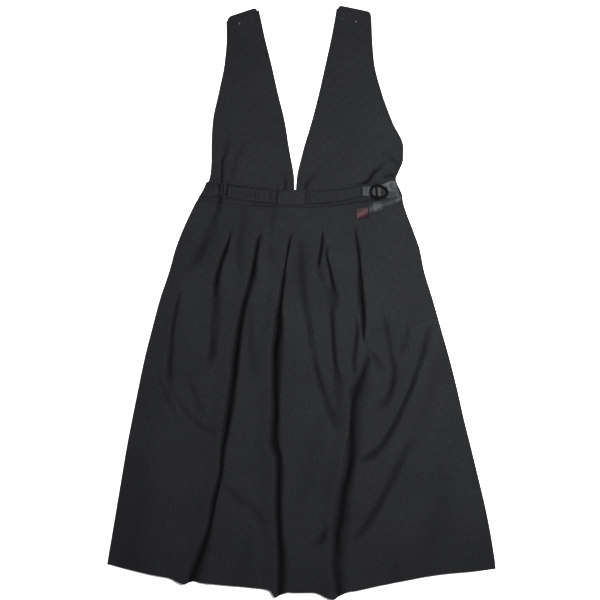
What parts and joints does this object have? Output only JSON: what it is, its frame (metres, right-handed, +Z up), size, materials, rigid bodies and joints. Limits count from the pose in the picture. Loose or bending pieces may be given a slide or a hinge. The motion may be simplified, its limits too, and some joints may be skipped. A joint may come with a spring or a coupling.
{
  "type": "pinafore dress",
  "caption": "Charcoal pinafore dress laid flat: pleated skirt, deep V bibs with studded shoulder tabs, cloth belt and a glossy tape with an oval ring.",
  "frame": {"origin": "centre of the laid dress's outline, on the surface it lies on", "axes": "+X across the dress to the side with the ring, +Y from the hem to the shoulder tabs, +Z up from the surface"},
  "size_m": [0.7771, 1.1865, 0.0146],
  "materials": {
    "cloth_front": "charcoal melange weave, matt, soft nap",
    "cloth_back": "charcoal melange weave, matt, soft nap",
    "tape": "smooth coated tape with a gloss",
    "tip": "red woven end piece, satin",
    "ring": "black moulded, gloss",
    "stud": "small press stud cap, satin"
  },
  "bodies": {
    "root": {"skirt_front": "cloth_front", "skirt_back": "cloth_back", "waistband_front": "cloth_front", "waistband_back": "cloth_back", "bib_front_left": "cloth_front", "bib_front_right": "cloth_front", "bib_back_left": "cloth_back", "bib_back_right": "cloth_back", "belt": "cloth_front", "belt_loop_centre": "cloth_front", "belt_loop_side": "cloth_front", "tape_run": "tape", "tape_tail": "tape", "tape_tip": "tip", "ring": "ring", "stud_1": "stud", "stud_2": "stud", "stud_3": "stud", "stud_4": "stud"}
  },
  "joints": []
}
